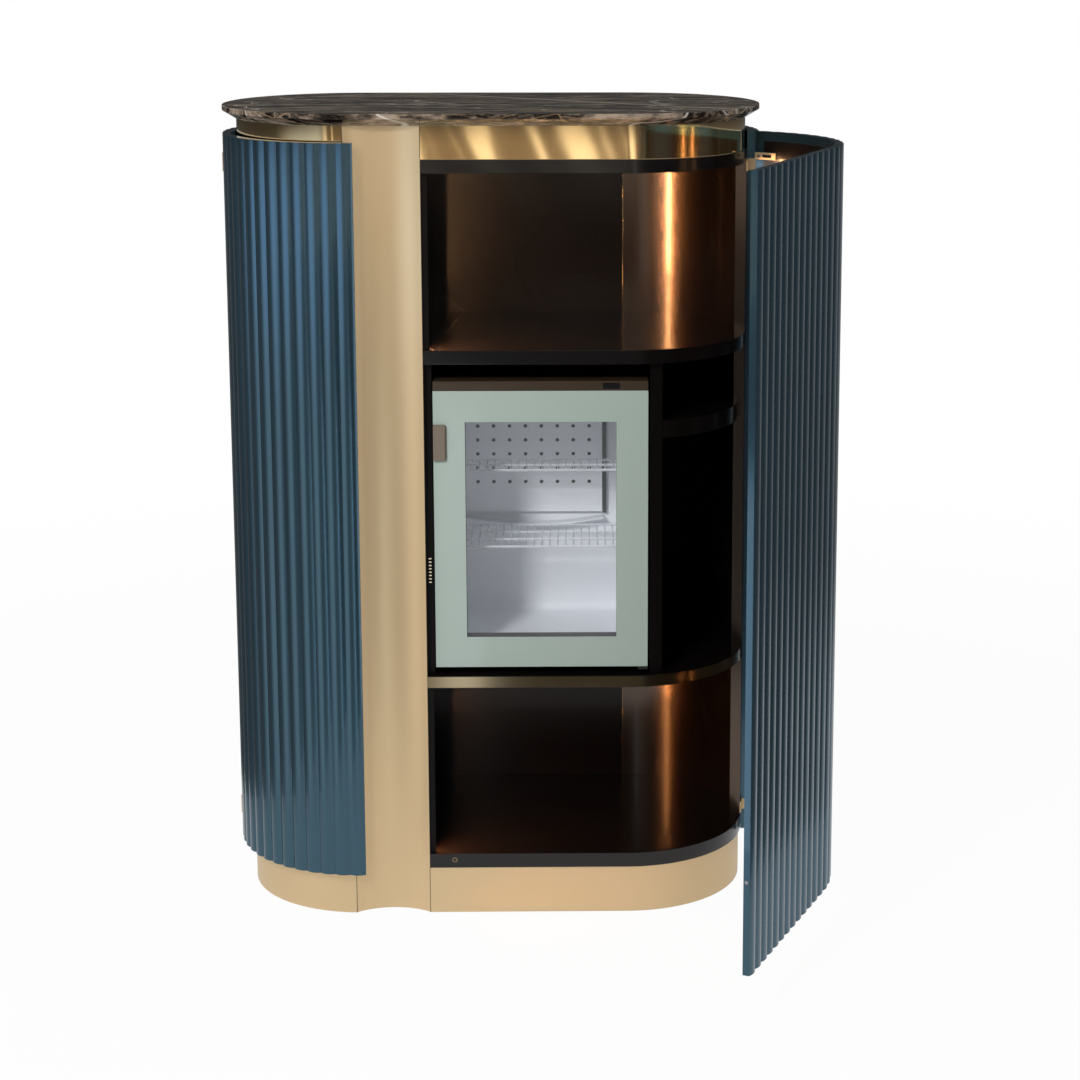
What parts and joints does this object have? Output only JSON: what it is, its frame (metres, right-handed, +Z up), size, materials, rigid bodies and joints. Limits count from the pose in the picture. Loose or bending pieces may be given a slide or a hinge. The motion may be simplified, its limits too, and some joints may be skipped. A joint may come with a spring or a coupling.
{
  "type": "wine cabinet",
  "caption": "Oval bar cabinet with a fluted door at each round end, a hollow brass column, lit shelves, a small glass-door fridge and a bevelled stone top",
  "frame": {"origin": "on the floor, under the middle of the oval plan", "axes": "+X to the right and -Y to the front of a person facing the cabinet, +Z up"},
  "size_m": [1.1342, 0.9577, 1.51],
  "materials": {
    "stone": "polished dark stone with pale veins",
    "core_board": "raw board",
    "brass_polished": "mirror polish",
    "brass_satin": "satin",
    "bronze_lacquer": "high gloss lacquer",
    "blue_lacquer": "metallic gloss lacquer",
    "lining": "gloss laminate",
    "steel": "satin",
    "black_plastic": "matte",
    "light_alloy": "anodised",
    "diffuser": "opal",
    "fridge_case": "black sheet over foam",
    "white_plastic": "satin",
    "dark_strip": "gloss",
    "rubber": "matte",
    "mint_paint": "painted glass face",
    "clear_glass": "clear",
    "handle_alloy": "bronze anodised"
  },
  "bodies": {
    "cabinet": {"marble_top": "stone", "top_frame": "core_board", "collar_band": "brass_polished", "roof_panel": "bronze_lacquer", "floor_panel": "bronze_lacquer", "partition_left": "bronze_lacquer", "partition_right": "bronze_lacquer", "column_skin": "brass_satin", "column_core": "core_board", "back_panel": "bronze_lacquer", "right_wall": "bronze_lacquer", "left_wall": "bronze_lacquer", "rear_cladding_right": "blue_lacquer", "rear_cladding_back": "blue_lacquer", "rear_cladding_left": "blue_lacquer", "upper_shelf": "bronze_lacquer", "middle_shelf": "bronze_lacquer", "divider": "bronze_lacquer", "side_shelf": "bronze_lacquer", "fridge_filler": "bronze_lacquer", "left_shelf_lower": "bronze_lacquer", "left_shelf_middle": "bronze_lacquer", "left_shelf_upper": "bronze_lacquer", "plinth_frame": "core_board", "plinth_skin": "brass_satin", "foot_blocks": "core_board", "levelling_feet": "black_plastic", "led_channels": "light_alloy", "led_diffusers": "diffuser", "led_driver": "black_plastic", "cable_gland": "black_plastic", "right_catch": "steel", "left_catch": "black_plastic", "right_hinge_leaves": "brass_satin", "right_hinge_pins": "steel", "left_hinge_leaves": "brass_satin", "left_hinge_pins": "steel", "fridge_shell": "fridge_case", "fridge_liner": "white_plastic", "fridge_back_plate": "white_plastic", "fridge_shelf_upper": "white_plastic", "fridge_shelf_lower": "white_plastic", "fridge_control_strip": "dark_strip", "fridge_display": "dark_strip", "fridge_feet": "rubber", "fridge_cooling_unit": "light_alloy", "fridge_hinge_bracket": "steel", "fridge_hinge_pins": "steel"},
    "right_door": {"right_door_panel": "blue_lacquer", "right_door_lining": "lining", "right_hinge_straps": "brass_satin", "right_strike": "steel"},
    "left_door": {"left_door_panel": "blue_lacquer", "left_door_lining": "lining", "left_hinge_straps": "brass_satin", "left_strike": "steel"},
    "fridge_door": {"fridge_door_frame": "mint_paint", "fridge_door_glass": "clear_glass", "fridge_door_gasket": "rubber", "fridge_handle": "handle_alloy"}
  },
  "joints": [
    {"name": "right_door_hinge", "type": "hinge", "parent": "cabinet", "child": "right_door", "pos_m": [0.4974, -0.0173, 0.77], "axis": [0, 0, 1], "range_deg": [-66.5, 35]},
    {"name": "left_door_hinge", "type": "hinge", "parent": "cabinet", "child": "left_door", "pos_m": [-0.4974, -0.0173, 0.77], "axis": [0, 0, 1], "range_deg": [-100, 0]},
    {"name": "fridge_door_hinge", "type": "hinge", "parent": "cabinet", "child": "fridge_door", "pos_m": [0.283, -0.21, 0.74], "axis": [0, 0, 1], "range_deg": [0, 1.5]}
  ]
}
